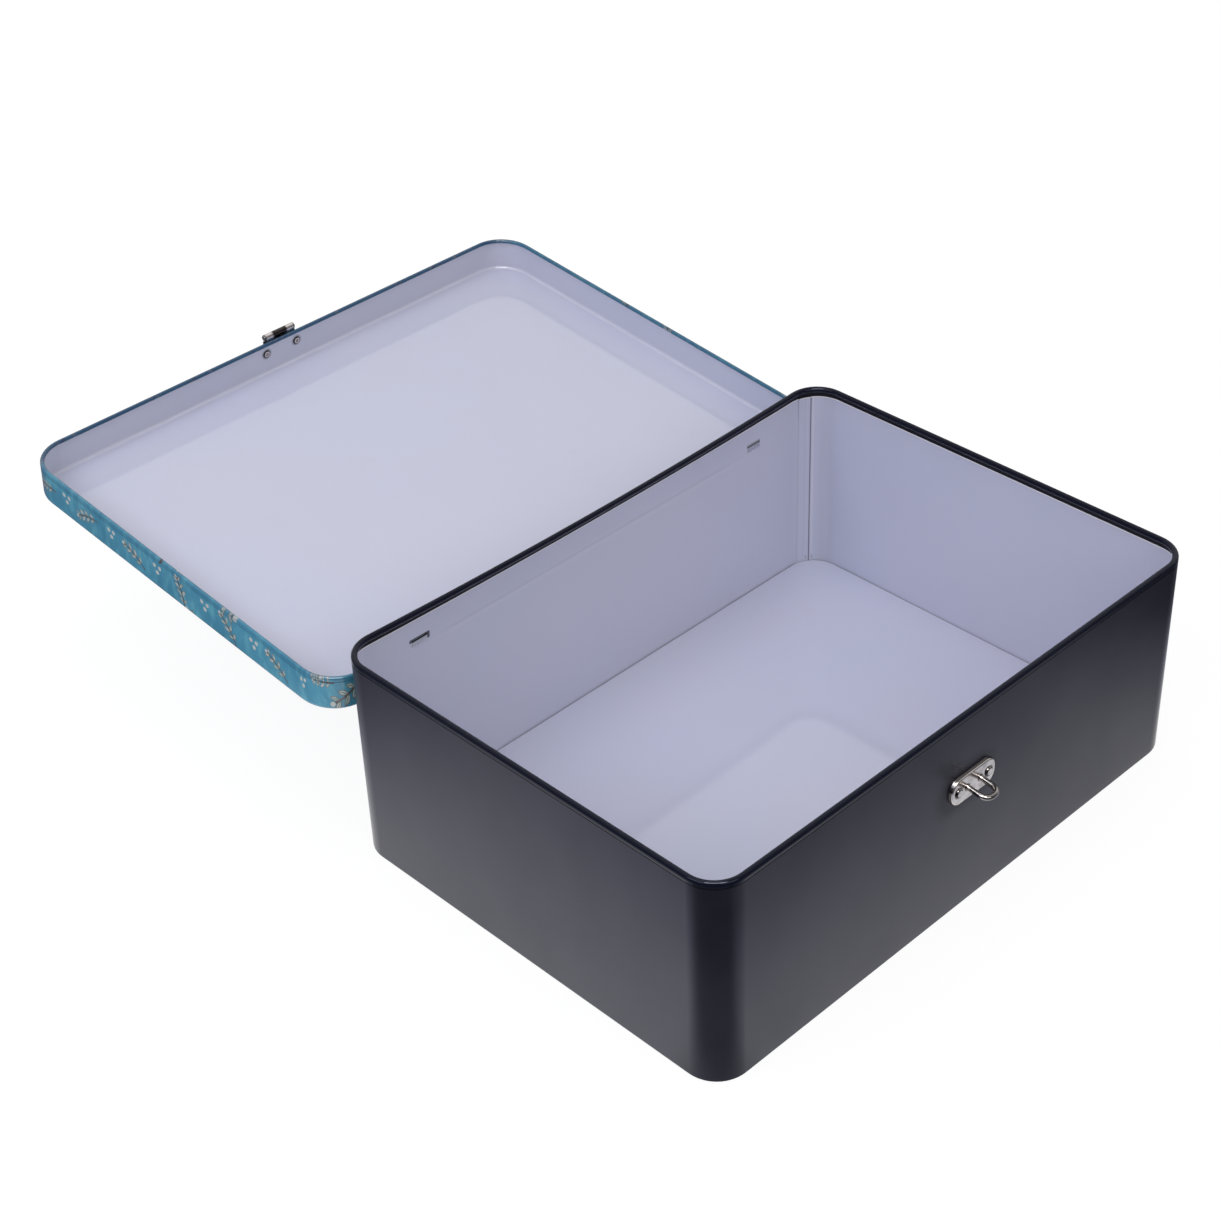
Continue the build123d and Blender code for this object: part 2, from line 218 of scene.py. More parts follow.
def bump(tree, height, distance, before=None):
    node = tree.nodes.new("ShaderNodeBump")
    plug(tree, node.inputs["Height"], height)
    node.inputs["Distance"].default_value = distance
    node.inputs["Strength"].default_value = 1.0
    if before is not None:
        plug(tree, node.inputs["Normal"], before)
    return node.outputs[0]


def new_material(name):
    """An empty material with one principled shader; returns it, its tree and the shader."""
    material = bpy.data.materials.new(name)
    material.use_nodes = True
    tree = material.node_tree
    return material, tree, tree.nodes["Principled BSDF"]


def placed(name, data):
    """A new object in the scene."""
    thing = bpy.data.objects.new(name, data)
    bpy.context.scene.collection.objects.link(thing)
    return thing


def span(a, b):
    """The distance between two places that lie a apart one way and b apart the other."""
    return (a * a + b * b).root()


def beyond(x, half):
    """How far a coordinate lies outside the range from -half to half."""
    return (x.abs() - half).most(0.0)


def rounded_depth(x, y, half_x, half_y, corner):
    """How far a point lies outside a rounded rectangle; negative inside it."""
    return span(beyond(x, half_x - corner), beyond(y, half_y - corner)) - corner


def left_half(x):
    """1 on the left half of the box, 0 on the right."""
    return x.ramp(1 * MM, -1 * MM)


# Lacquer inside the box and the lid. Cells are to the metre.

LACQUER = (0.545, 0.560, 0.688, 1)
LACQUER_WARM = (0.558, 0.564, 0.678, 1)
LACQUER_DULL = (0.500, 0.515, 0.640, 1)
LACQUER_HIGHLIGHT = (0.860, 0.865, 0.930, 1)
LACQUER_CLOUD_CELLS = 9.0
LACQUER_SCUFF_CELLS = 55.0
LACQUER_SCUFF_SHARE = 0.35
LACQUER_PEEL_CELLS = 900.0
LACQUER_PEEL_DEPTH = 0.01 * MM
LACQUER_DENT_CELLS = 14.0
LACQUER_DENT_DEPTH = 0.5 * MM
LACQUER_SMEAR_CELLS = 40.0
LACQUER_SMEAR = 0.08
LACQUER_ROUGHNESS = 0.34
LACQUER_SHINE = 0.1
COAT_ROUGHNESS = 0.07


def lacquer_look(tree, shader, vector):
    """Bluish-white stoving lacquer: glossy, with faint roller texture, cloudiness and scuffs."""
    cloud = noise(tree, vector, LACQUER_CLOUD_CELLS, detail=3.0)
    tone = blend(tree, cloud.ramp(0.35, 0.7), LACQUER, LACQUER_WARM)
    scuff = noise(tree, vector, LACQUER_SCUFF_CELLS, detail=6.0, roughness=0.65).ramp(0.60, 0.82)
    color = blend(tree, scuff * LACQUER_SCUFF_SHARE, tone, LACQUER_DULL)
    peel = noise(tree, vector, LACQUER_PEEL_CELLS, detail=1.0)
    dent = noise(tree, vector, LACQUER_DENT_CELLS, detail=1.0)
    normal = bump(tree, peel, LACQUER_PEEL_DEPTH)
    normal = bump(tree, dent, LACQUER_DENT_DEPTH, before=normal)
    smear = noise(tree, vector, LACQUER_SMEAR_CELLS, detail=3.0)
    roughness = smear * LACQUER_SMEAR + LACQUER_ROUGHNESS
    shader.inputs["Specular IOR Level"].default_value = LACQUER_SHINE
    shader.inputs["Coat Weight"].default_value = 1.0
    shader.inputs["Coat Roughness"].default_value = COAT_ROUGHNESS
    return color, roughness, normal


SEAM_DARK = (0.110, 0.105, 0.165, 1)
SEAM_GREY = (0.330, 0.330, 0.400, 1)
HIGHLIGHT_PALE = (0.700, 0.700, 0.770, 1)
SLOT_SHADE = (0.008, 0.008, 0.018, 1)
BLACK = (0.0074, 0.0075, 0.0118, 1)
BLACK_WORN = (0.0128, 0.0130, 0.0175, 1)
CREAM = (0.900, 0.880, 0.840, 1)

# The two slots where the hinge strip's tabs come through the back wall, each with painted shade. A
# pair of edges is where a mark fades out and where it is full, measured from its middle.
TAB_WIDTH = 9.0 * MM
TAB_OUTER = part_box("body_hinge_strip")[1].x
TAB_INNER = TAB_OUTER - TAB_WIDTH
SLOT_TOP = 94.05 * MM
SLOT_END = 0.3 * MM
SLOT_LINE_RISE = 0.1 * MM
SLOT_LINE_EDGES = (0.75 * MM, 0.35 * MM)
RIGHT_SLOT_SHARE = 0.35
HOOK_BESIDE = 0.9 * MM
HOOK_EDGES = (1.0 * MM, 0.5 * MM)
HOOK_BOTTOM = SLOT_TOP - 3.8 * MM
HOOK_TOP = SLOT_TOP + 0.9 * MM
HOOK_SHARE = 0.95
END_DOT_BESIDE = 0.6 * MM
END_DOT_BELOW = 0.3 * MM
END_DOT_EDGES = (1.4 * MM, 0.7 * MM)
END_DOT_SHARE = 0.85


def slot_shade_mask(x, y, z):
    """Painted shade at each slot: a dark line along its upper edge, and at the left one a dark line
    beside the tab's open side and a dark dot past its outer end.
    """
    wall = y.ramp(BODY_HALF_Y - 2 * MM, BODY_HALF_Y - 1 * MM)
    middle = (TAB_OUTER + TAB_INNER) / 2
    half = (TAB_OUTER - TAB_INNER) / 2 + SLOT_END
    line_x = (x.abs() - middle).near(half + 0.3 * MM, half - 0.1 * MM)
    line_z = (z - (SLOT_TOP + SLOT_LINE_RISE)).near(*SLOT_LINE_EDGES)
    line = line_x * line_z * (left_half(x) * (1 - RIGHT_SLOT_SHARE) + RIGHT_SLOT_SHARE)
    hook_x = (x + (TAB_INNER - HOOK_BESIDE)).near(*HOOK_EDGES)
    hook_z = z.ramp(HOOK_BOTTOM, HOOK_BOTTOM + 1 * MM) * z.ramp(HOOK_TOP, HOOK_TOP - 0.5 * MM)
    end_dot = span(x + (TAB_OUTER + END_DOT_BESIDE), z - (SLOT_TOP - END_DOT_BELOW)).ramp(*END_DOT_EDGES)
    return line.most(hook_x * hook_z * HOOK_SHARE).most(end_dot * END_DOT_SHARE) * wall


# The soldered lap at the back right corner, with painted shade on the corner's bend, a painted
# highlight and a painted shadow line at the lap's edge. Places are measured along the wall from the
# lap's edge.
SEAM_ANGLE = radians(52.7)
SEAM_WIDTH = 7.0 * MM
SEAM_WANDER = 0.5 * MM
SEAM_WANDER_CELLS = 90.0
SEAM_SHADOW_LINE_EDGES = (0.60 * MM, 0.15 * MM)
SEAM_SHADOW_LINE_WANDER = 0.4
SEAM_SHADOW_LINE_SHARE = 0.8
# Each mark: its place, its edges, how much it wanders, its strength and its tone
SEAM_MARKS = (
    # Painted shade on the corner's bend beside the lap
    (-9.0 * MM, (6.5 * MM, 1.5 * MM), 0.0, 0.20, SEAM_GREY),
    # Painted highlight beside the lap's edge
    (-1.3 * MM, (0.9 * MM, 0.3 * MM), 0.0, 0.45, HIGHLIGHT_PALE),
    (SEAM_WIDTH * 0.45, (0.9 * MM, 0.3 * MM), 1.0, 0.12, SEAM_GREY),
    (SEAM_WIDTH, (0.5 * MM, 0.2 * MM), 0.0, 0.14, SEAM_GREY),
)
NOTCH_LEVEL = 5 * MM
NOTCH_LEVEL_EDGES = (1.6 * MM, 0.8 * MM)
NOTCH_BESIDE = 1.7 * MM
NOTCH_BESIDE_EDGES = (0.6 * MM, 0.2 * MM)
NOTCH_SHARE = 0.35

# Painted shade along the crease that the hinge strip presses into the back wall, and a painted
# highlight on the crest below it
CREASE_HEIGHT = 89.5 * MM
CREASE_ENDS = (112 * MM, 84 * MM)
CREASE_SHADE_EDGES = (1.3 * MM, 0.1 * MM)
CREASE_SHADE_SHARE = 0.22
CREST_BELOW = 2.0 * MM
CREST_HIGHLIGHT_EDGES = (1.6 * MM, 0.3 * MM)
CREST_HIGHLIGHT_SHARE = 0.14

# The black that runs over inside the rim, and the cream line under it
OVERRUN = 3.2 * MM
OVERRUN_FADE = 0.1 * MM
OVERRUN_ROUGHNESS = 0.30
OVERRUN_COAT_LOSS = 0.85
OVERRUN_WANDER = 0.5 * MM * 0.4
OVERRUN_WANDER_CELLS = 240.0
CREAM_LINE = 0.6 * MM
CREAM_FADE = 0.2 * MM
CREAM_SHARE = 0.8


def wall_lacquer_material():
    """The lacquer inside the wall, with painted shade and highlights at its soldered seam, at the
    crease above the hinge and at the hinge slots.
    """
    material, tree, shader = new_material("wall_lacquer")
    vector = position(tree)
    color, roughness, normal = lacquer_look(tree, shader, vector)
    x, y, z = split(tree, vector)

    side_x = x - (BODY_HALF_X - BODY_CORNER)
    side_y = y - (BODY_HALF_Y - BODY_CORNER)
    along = (side_y.math("ARCTAN2", side_x) - SEAM_ANGLE) * (BODY_CORNER - SHEET)
    corner = side_x.ramp(-3 * MM, -1 * MM) * side_y.ramp(-3 * MM, -1 * MM)
    wander = unsteady(tree, vector, SEAM_WANDER_CELLS, SEAM_WANDER)
    for place, edges, wandering, share, tone in SEAM_MARKS:
        mark = (along - place + wander * wandering).near(*edges) * corner
        color = blend(tree, mark * share, color, tone)
    # Painted shadow line along the lap's edge, and a dark notch near the wall's foot
    seam_shadow_line = (along + wander * SEAM_SHADOW_LINE_WANDER).near(*SEAM_SHADOW_LINE_EDGES) * corner
    notch = (z - NOTCH_LEVEL).near(*NOTCH_LEVEL_EDGES)
    notch = notch * (along.abs() - NOTCH_BESIDE).near(*NOTCH_BESIDE_EDGES)
    dark = (seam_shadow_line * SEAM_SHADOW_LINE_SHARE).most(notch * corner * NOTCH_SHARE)
    color = blend(tree, dark, color, SEAM_DARK)

    back = y.ramp(BODY_HALF_Y - 8 * MM, BODY_HALF_Y - 4 * MM) * x.near(*CREASE_ENDS)
    crease = (z - CREASE_HEIGHT).near(*CREASE_SHADE_EDGES) * back
    crest = (z - (CREASE_HEIGHT - CREST_BELOW)).near(*CREST_HIGHLIGHT_EDGES) * back
    # Painted highlight on the crest, then painted shade along the crease
    color = blend(tree, crest * CREST_HIGHLIGHT_SHARE, color, HIGHLIGHT_PALE)
    color = blend(tree, crease * CREASE_SHADE_SHARE, color, SEAM_GREY)
    # Painted shade at the hinge slots
    color = blend(tree, slot_shade_mask(x, y, z), color, SLOT_SHADE)

    level = z + unsteady(tree, vector, OVERRUN_WANDER_CELLS, OVERRUN_WANDER)
    overrun_end = UNDER_BODY_RIM - OVERRUN
    cream_end = overrun_end - CREAM_LINE
    cream = level.ramp(cream_end, cream_end + CREAM_FADE)
    overrun = level.ramp(overrun_end - OVERRUN_FADE, overrun_end + OVERRUN_FADE)
    color = blend(tree, cream * CREAM_SHARE, color, CREAM)
    color = blend(tree, overrun, color, BLACK)
    roughness = overrun * (roughness * -1.0 + OVERRUN_ROUGHNESS) + roughness
    plug(tree, shader.inputs["Coat Weight"], overrun * -OVERRUN_COAT_LOSS + 1.0)
    plug(tree, shader.inputs["Base Color"], color)
    plug(tree, shader.inputs["Roughness"], roughness)
    plug(tree, shader.inputs["Normal"], normal)
    return material


# The staple's plate on the front wall, and the rivets of both fittings
CLASP_LEVEL = 71.3 * MM
CLASP_HALF = 15.1 * MM
CLASP_RISE = 7.2 * MM
CLASP_CORNER = 6.2 * MM
STAPLE_HALF = 4.45 * MM
RIVET_HALF = 10.2 * MM
RIVET_HEAD = 2.4 * MM
MOUNT_RIVET_LEVEL = 99.6 * MM

# Satin black outside. It shines less round the staple's plate, most to its left.
BLACK_CLOUD_CELLS = 30.0
BLACK_GRAIN_CELLS = 2600.0
BLACK_GRAIN_DEPTH = 0.012 * MM
BLACK_DENT_CELLS = 11.0
BLACK_DENT_DEPTH = 0.35 * MM
BLACK_ROUGHNESS = 0.28
BLACK_SMUDGE = 0.06
BLACK_SMUDGE_CELLS = 22.0
BLACK_SMUDGE_STRETCH = (1.0, 1.0, 0.5)
BLACK_SHINE = 0.5
BLACK_TINT = (0.68, 0.69, 1.0, 1)
CLASP_SHADE_BESIDE = 3.5 * MM
CLASP_SHADE_WIDTH = 9 * MM
CLASP_SHADE_SHARE = 0.26


def black_material():
    """Satin black lacquer on the outside of the body."""
    material, tree, shader = new_material("black_lacquer")
    vector = position(tree)
    cloud = noise(tree, vector, BLACK_CLOUD_CELLS, detail=4.0)
    grain = noise(tree, vector, BLACK_GRAIN_CELLS, detail=2.0)
    dent = noise(tree, vector, BLACK_DENT_CELLS, detail=1.0)
    normal = bump(tree, grain, BLACK_GRAIN_DEPTH)
    normal = bump(tree, dent, BLACK_DENT_DEPTH, before=normal)
    streaks = stretched(tree, vector, BLACK_SMUDGE_STRETCH)
    smudge = noise(tree, streaks, BLACK_SMUDGE_CELLS, detail=5.0)
    plug(tree, shader.inputs["Base Color"], blend(tree, cloud.ramp(0.3, 0.75), BLACK, BLACK_WORN))
    plug(tree, shader.inputs["Roughness"], smudge.ramp(0.3, 0.75) * BLACK_SMUDGE + BLACK_ROUGHNESS)
    plug(tree, shader.inputs["Normal"], normal)
    x, y, z = split(tree, vector)
    shade_x = x + CLASP_SHADE_BESIDE
    around = rounded_depth(shade_x, z - CLASP_LEVEL, CLASP_HALF, CLASP_RISE, CLASP_CORNER)
    front = y.ramp(-BODY_HALF_Y + 2 * MM, -BODY_HALF_Y + 1 * MM)
    shade = around.ramp(CLASP_SHADE_WIDTH, 0.0) * front
    plug(tree, shader.inputs["Specular IOR Level"], shade * -CLASP_SHADE_SHARE + BLACK_SHINE)
    shader.inputs["Specular Tint"].default_value = BLACK_TINT
    return material


RIM_BLACK = (0.005, 0.006, 0.013, 1)
RIM_WORN = (0.03, 0.03, 0.034, 1)
RIM_WEAR_CELLS = 160.0
RIM_WEAR_SHARE = 0.3
RIM_ROUGHNESS = 0.06
RIM_WORN_ROUGHNESS = 0.10
RIM_RIPPLE_CELLS = 60.0
RIM_RIPPLE_DEPTH = 0.05 * MM
RIM_SHINE = 0.22
RIM_TINT = (0.76, 0.80, 1.0, 1)
# Painted shadow for the fine groove under the rim
GROOVE_SHADOW_BLACK = (0.002, 0.002, 0.003, 1)
GROOVE_SHADOW_GREY = (0.006, 0.006, 0.008, 1)
GROOVE_MOTTLE_CELLS = 300.0
GROOVE_ROUGHNESS = 0.6
GROOVE_SHINE = 0.08


def rim_material():
    """The same black where it is stretched smooth over the rolled rim."""
    material, tree, shader = new_material("black_rim")
    vector = position(tree)
    wear = noise(tree, vector, RIM_WEAR_CELLS, detail=4.0).ramp(0.62, 0.8)
    ripple = noise(tree, vector, RIM_RIPPLE_CELLS, detail=2.0)
    plug(tree, shader.inputs["Base Color"], blend(tree, wear * RIM_WEAR_SHARE, RIM_BLACK, RIM_WORN))
    plug(tree, shader.inputs["Roughness"], wear * RIM_WORN_ROUGHNESS + RIM_ROUGHNESS)
    plug(tree, shader.inputs["Normal"], bump(tree, ripple, RIM_RIPPLE_DEPTH))
    shader.inputs["Specular IOR Level"].default_value = RIM_SHINE
    shader.inputs["Specular Tint"].default_value = RIM_TINT
    return material


def groove_shadow_material():
    """Painted shadow in the fine groove under the rim: the black made darker and dull."""
    material, tree, shader = new_material("groove_shadow")
    groove_mottle = noise(tree, position(tree), GROOVE_MOTTLE_CELLS, detail=3.0)
    plug(tree, shader.inputs["Base Color"], blend(tree, groove_mottle, GROOVE_SHADOW_BLACK, GROOVE_SHADOW_GREY))
    shader.inputs["Roughness"].default_value = GROOVE_ROUGHNESS
    shader.inputs["Specular IOR Level"].default_value = GROOVE_SHINE
    return material


# The printed lid

TEAL = (0.062, 0.285, 0.415, 1)
TEAL_DEEP = (0.034, 0.205, 0.320, 1)
TEAL_PALE = (0.105, 0.375, 0.475, 1)
RIM_BLUE = (0.020, 0.052, 0.120, 1)
LEAF = (0.280, 0.420, 0.390, 1)
LEAF_PALE = (0.560, 0.610, 0.570, 1)
STEM = (0.085, 0.064, 0.048, 1)
BERRY = (0.500, 0.530, 0.500, 1)
RIVET_BACK_DARK = (0.060, 0.055, 0.055, 1)
PRINT_ROUGHNESS = 0.30
PRINT_WOBBLE = 0.8 * MM
PRINT_WOBBLE_CELLS = 180.0
GROUND_CELLS = 22.0
BRUSH_CELLS = 75.0
BRUSH_STRETCH = (1.0, 2.6, 1.0)
BRUSH_SHARE = 0.85
MOTTLE_CELLS = 420.0
LEAF_SHARE = 0.92
VEIN_SHARE = 0.9

# One sprig of the print: a curved stem with leaves on both sides, largest at its middle, and
# a bud at its tip
TILE_WIDTH = 43 * MM
TILE_HEIGHT = 37 * MM
STEM_REACH = 15 * MM
STEM_CURVE = 9.0
STEM_THICK = 0.8 * MM
LEAF_LENGTH = 7.6 * MM
LEAF_WIDTH = 3.3 * MM
LEAF_PAIRS = 4
LEAF_SPREAD = 0.85
LEAF_TURN = 0.75
LEAF_SETBACK = 0.6
LEAF_FULL = 1.15
LEAF_TAPER = 0.3
LEAF_FADE = 0.12 * MM
OUTLINE_INSET = 0.20 * MM
OUTLINE_EDGES = (0.44 * MM, 0.18 * MM)
VEIN_EDGES = (0.22 * MM, 0.08 * MM)
BUD_EDGES = (1.7 * MM, 1.3 * MM)
SMALL_SPRIG = 0.62
SPRIG_PLAY_ALONG = 8.8 * MM
SPRIG_PLAY_ACROSS = 3.0 * MM
# Three berries between the sprigs
BERRIES = 3
BERRY_RING = 2.3 * MM
BERRY_SIZE = 1.4 * MM
BERRY_MARGIN = BERRY_RING + BERRY_SIZE + 0.6 * MM
BERRIES_ALONG = TILE_WIDTH / 2 - BERRY_MARGIN
BERRIES_ACROSS = -TILE_HEIGHT / 4


def turned(x, y, c, s):
    """Plane coordinates turned by the angle with this cosine and sine."""
    return x * c + y * s, y * c - x * s


def strongest(masks):
    """The highest of several masks at each point."""
    top = masks[0]
    for mask in masks[1:]:
        top = top.most(mask)
    return top


def leaf_mask(u, v, at_u, at_v, angle, length, width):
    """A pointed leaf with its foot at a given place, and its outline and middle vein."""
    along, across = turned(u - at_u, v - at_v, cos(angle), sin(angle))
    share = along / length
    swell = (share * share.inverted()).most(0.0) * (4 * width / 2)
    inside = swell - across.abs()
    leaf = inside.ramp(0.0, LEAF_FADE)
    outline = (inside - OUTLINE_INSET).near(*OUTLINE_EDGES)
    vein = (across.near(*VEIN_EDGES) * leaf).most(outline * leaf)
    return leaf, vein


def sprig_layer(tree, u, v, wobble, size):
    """A half-drop repeat of one sprig, each turned and set off its place by chance."""
    column = (u / TILE_WIDTH).floor()
    shift = (column / 2.0).math("FRACT").abs() * TILE_HEIGHT
    row = ((v + shift) / TILE_HEIGHT).floor()
    scatter = tree.nodes.new("ShaderNodeTexWhiteNoise")
    scatter.noise_dimensions = "2D"
    plug(tree, scatter.inputs["Vector"], joined(tree, column, row))
    turn = Wire(tree, scatter.outputs["Value"]) * (2 * pi)
    chance = split(tree, scatter.outputs["Color"])
    cell_u = u - (column + 0.5) * TILE_WIDTH
    cell_v = v + shift - (row + 0.5) * TILE_HEIGHT
    sprig_u = cell_u + (chance[0] - 0.5) * SPRIG_PLAY_ALONG
    sprig_v = cell_v + (chance[1] - 0.5) * SPRIG_PLAY_ACROSS
    su, sv = turned(sprig_u, sprig_v, turn.math("COSINE"), turn.math("SINE"))
    su, sv = (su + wobble) / size, (sv + wobble) / size

    foot = STEM_CURVE * (STEM_REACH / 2) ** 2
    off_stem = sv - (su * su * STEM_CURVE - foot)
    stem = off_stem.near(STEM_THICK * 1.1, STEM_THICK * 0.5) * su.near(STEM_REACH, STEM_REACH * 0.9)
    leaves, veins = [], []
    for i in range(LEAF_PAIRS):
        share = (i + LEAF_SETBACK) / LEAF_PAIRS * 2 - 1
        at_u = share * STEM_REACH * LEAF_SPREAD
        at_v = STEM_CURVE * at_u * at_u - foot
        slope = 2 * STEM_CURVE * at_u
        grown = LEAF_FULL - LEAF_TAPER * abs(share)
        for side in (-1, 1):
            angle = slope + side * LEAF_TURN
            leaf, vein = leaf_mask(su, sv, at_u, at_v, angle, LEAF_LENGTH * grown, LEAF_WIDTH * grown)
            leaves.append(leaf)
            veins.append(vein)
    tip = STEM_CURVE * STEM_REACH ** 2 - foot
    buds = [span(su - STEM_REACH, sv - tip).ramp(*BUD_EDGES)]
    for i in range(BERRIES):
        off_u = cell_u - (BERRIES_ALONG + BERRY_RING * cos(i * 2 * pi / BERRIES)) + wobble
        off_v = cell_v - (BERRIES_ACROSS + BERRY_RING * sin(i * 2 * pi / BERRIES)) + wobble
        buds.append(span(off_u, off_v).ramp(BERRY_SIZE, BERRY_SIZE * 0.7))
    return stem, strongest(leaves), strongest(veins), strongest(buds)


# The lid's rolled edge, deep blue with painted shade on its front and right, a darker ring round the
# rivets inside, and a painted highlight on the pressed edge
EDGE_LEAST = 0.3
EDGE_SHADE_GAIN = 0.6
EDGE_SHADE_RIGHT_SHARE = 0.5
LID_GROOVE_SHADE_SHARE = 0.6
RIVET_BACK_DARK_WIDTH = 1.3 * MM
RIVET_BACK_DARK_SHARE = 0.55
FILLET_EDGES = (0.5 * MM, 1.3 * MM)
FILLET_HIGHLIGHT_SHARE = 0.20


def off_rivet(x):
    """How far to the right of the nearer rivet a place lies."""
    return x - x.sign() * RIVET_HALF


def lid_material():
    """Printed teal outside with a repeat of small leafy sprigs, lacquer inside."""
    material, tree, shader = new_material("printed_lid")
    rest = position(tree)
    x, y, z = split(tree, shut_position(tree, rest))

    # The print runs flat over the top and straight down each side, as the blank was drawn
    beyond_x = beyond(x, LID_HALF_X - LID_CORNER)
    beyond_y = beyond(y, LID_HALF_Y - LID_CORNER)
    reach = span(beyond_x, beyond_y).most(0.01 * MM)
    drop = z * -1.0 + LID_TOP
    u = x + x.sign() * (beyond_x / reach * drop)
    v = y + y.sign() * (beyond_y / reach * drop)
    flat = joined(tree, u, v)

    wobble = unsteady(tree, flat, PRINT_WOBBLE_CELLS, PRINT_WOBBLE)
    large = sprig_layer(tree, u, v, wobble, 1.0)
    small = sprig_layer(tree, u + TILE_WIDTH * 0.5, v + TILE_HEIGHT * 0.25, wobble, SMALL_SPRIG)
    stem, leaves, veins, bud = [a.most(b) for a, b in zip(large, small)]

    brushy = noise(tree, stretched(tree, flat, BRUSH_STRETCH), BRUSH_CELLS, detail=5.0)
    broad = noise(tree, flat, GROUND_CELLS, detail=2.0)
    ground = blend(tree, broad.ramp(0.3, 0.7), TEAL, TEAL_DEEP)
    ground = blend(tree, brushy.ramp(0.44, 0.72) * BRUSH_SHARE, ground, TEAL_PALE)
    mottle = noise(tree, flat, MOTTLE_CELLS, detail=4.0)
    ink = blend(tree, mottle.ramp(0.35, 0.65), LEAF, LEAF_PALE)
    art = blend(tree, stem, ground, STEM)
    art = blend(tree, leaves * LEAF_SHARE, art, ink)
    art = blend(tree, veins * VEIN_SHARE, art, STEM)
    art = blend(tree, bud, art, BERRY)

    # Rolled edge, deep blue all round and darker on the front and right with painted shade, and
    # painted shade along the fine groove above it
    edge = z.ramp(OVER_LID_RIM, LID_RIM + LID_RIM_RADIUS)
    groove = z - (OVER_LID_RIM + LID_GROOVE_HEIGHT / 2)
    line = groove.near(LID_GROOVE_HEIGHT * 0.8, LID_GROOVE_HEIGHT * 0.3)
    front_edge_shade = y.ramp(-LID_HALF_Y + LID_CORNER, -LID_HALF_Y + 5 * MM)
    right_edge_shade = x.ramp(LID_HALF_X - LID_CORNER, LID_HALF_X) * EDGE_SHADE_RIGHT_SHARE
    art = blend(tree, edge * (front_edge_shade.most(right_edge_shade) * EDGE_SHADE_GAIN + EDGE_LEAST), art, RIM_BLUE)
    art = blend(tree, line * LID_GROOVE_SHADE_SHARE, art, RIM_BLUE)

    color, roughness, normal = lacquer_look(tree, shader, rest)
    # A darker ring round the back of each rivet inside the lid
    rivet_back_ring = span(off_rivet(x), z - MOUNT_RIVET_LEVEL).ramp(RIVET_HEAD + RIVET_BACK_DARK_WIDTH, RIVET_HEAD)
    front = y.ramp(-LID_HALF_Y + 3 * MM, -LID_HALF_Y + 2 * MM)
    color = blend(tree, rivet_back_ring * front * RIVET_BACK_DARK_SHARE, color, RIVET_BACK_DARK)
    # Depth below the outer surface, round the pressed edge too
    side = (rounded_depth(x, y, LID_HALF_X, LID_HALF_Y, LID_CORNER) + LID_EDGE).most(0.0)
    over = (z - (LID_TOP - LID_EDGE)).most(0.0)
    depth = span(side, over) * -1.0 + LID_EDGE
    # A painted highlight inside, along the pressed edge where the skirt meets the panel
    fillet_highlight = side.ramp(*FILLET_EDGES) * over.ramp(*FILLET_EDGES)
    color = blend(tree, fillet_highlight * FILLET_HIGHLIGHT_SHARE, color, LACQUER_HIGHLIGHT)
    above_rim = z.ramp(OVER_LID_RIM - 0.1 * MM, OVER_LID_RIM)
    inner = depth.ramp(SHEET * 0.45, SHEET * 0.55) * above_rim
    plug(tree, shader.inputs["Base Color"], blend(tree, inner, art, color))
    plug(tree, shader.inputs["Roughness"], inner * (roughness - PRINT_ROUGHNESS) + PRINT_ROUGHNESS)
    plug(tree, shader.inputs["Normal"], normal)
    return material


# The body's wall as it really stands: its long back edge is drawn in a little above
# the crease that the hinge strip leaves, most at the middle

BACK_BOW = 3.64 * MM
BACK_BAND = 4 * MM
BOW_HALF = 142 * MM
BOW_STEPS = 28
BOW_RISE_STEPS = 6
SAME_POINT = 0.001 * MM
CUT_TOLERANCE = 1e-7
SMOOTH_BELOW = radians(35)
OUTSIDE, INSIDE, RIM, GROOVE = range(4)


